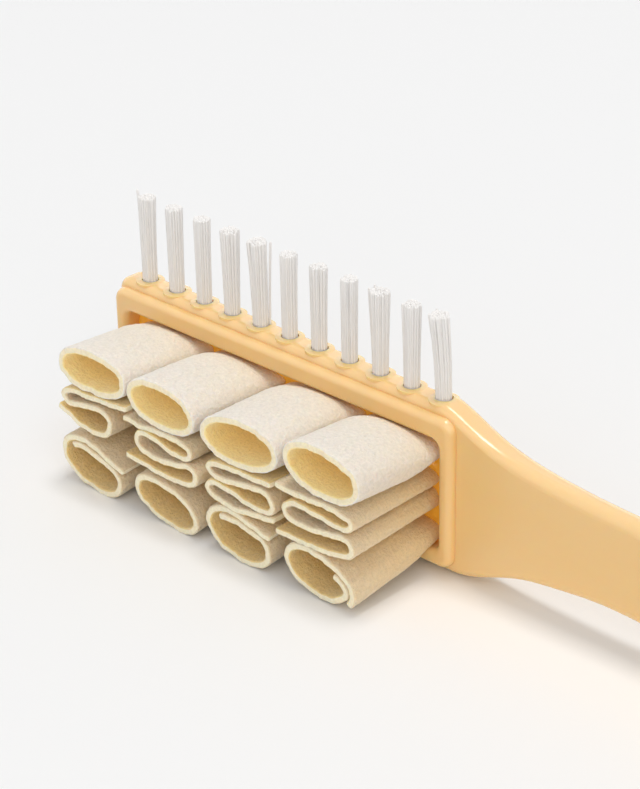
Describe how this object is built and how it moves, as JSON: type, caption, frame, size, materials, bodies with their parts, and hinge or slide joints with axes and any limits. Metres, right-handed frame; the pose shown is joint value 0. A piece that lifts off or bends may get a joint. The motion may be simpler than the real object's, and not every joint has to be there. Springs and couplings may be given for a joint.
{
  "type": "shoe brush",
  "caption": "Suede and nubuck shoe brush: rolled and folded crepe rubber glued in a framed pocket on one face, a row of nylon tufts on the edge, and a moulded handle with a hang hole.",
  "frame": {"origin": "middle of the brush's box in plan, at the level that it stands on with the bristles up", "axes": "+X along the brush towards the handle, -Y out of the crepe side, +Z towards the bristle tips"},
  "size_m": [0.17, 0.02, 0.0377],
  "materials": {
    "handle_plastic": "translucent amber injection moulding, polished",
    "adhesive": "set hot-melt adhesive, lumpy and glossy",
    "crepe_rubber": "natural crepe rubber, powdery and finely pebbled",
    "nylon_bristle": "white nylon filament, satin",
    "anchor_metal": "cut steel strip"
  },
  "bodies": {
    "root": {"handle": "handle_plastic", "glue_bed": "adhesive", "crepe_roll_top_1": "crepe_rubber", "crepe_fold_1": "crepe_rubber", "crepe_roll_bottom_1": "crepe_rubber", "crepe_roll_top_2": "crepe_rubber", "crepe_fold_2": "crepe_rubber", "crepe_roll_bottom_2": "crepe_rubber", "crepe_roll_top_3": "crepe_rubber", "crepe_fold_3": "crepe_rubber", "crepe_roll_bottom_3": "crepe_rubber", "crepe_roll_top_4": "crepe_rubber", "crepe_fold_4": "crepe_rubber", "crepe_roll_bottom_4": "crepe_rubber", "bristle_tuft_01": "nylon_bristle", "bristle_tuft_02": "nylon_bristle", "bristle_tuft_03": "nylon_bristle", "bristle_tuft_04": "nylon_bristle", "bristle_tuft_05": "nylon_bristle", "bristle_tuft_06": "nylon_bristle", "bristle_tuft_07": "nylon_bristle", "bristle_tuft_08": "nylon_bristle", "bristle_tuft_09": "nylon_bristle", "bristle_tuft_10": "nylon_bristle", "bristle_tuft_11": "nylon_bristle", "tuft_anchor_01": "anchor_metal", "tuft_anchor_02": "anchor_metal", "tuft_anchor_03": "anchor_metal", "tuft_anchor_04": "anchor_metal", "tuft_anchor_05": "anchor_metal", "tuft_anchor_06": "anchor_metal", "tuft_anchor_07": "anchor_metal", "tuft_anchor_08": "anchor_metal", "tuft_anchor_09": "anchor_metal", "tuft_anchor_10": "anchor_metal", "tuft_anchor_11": "anchor_metal"}
  },
  "joints": []
}
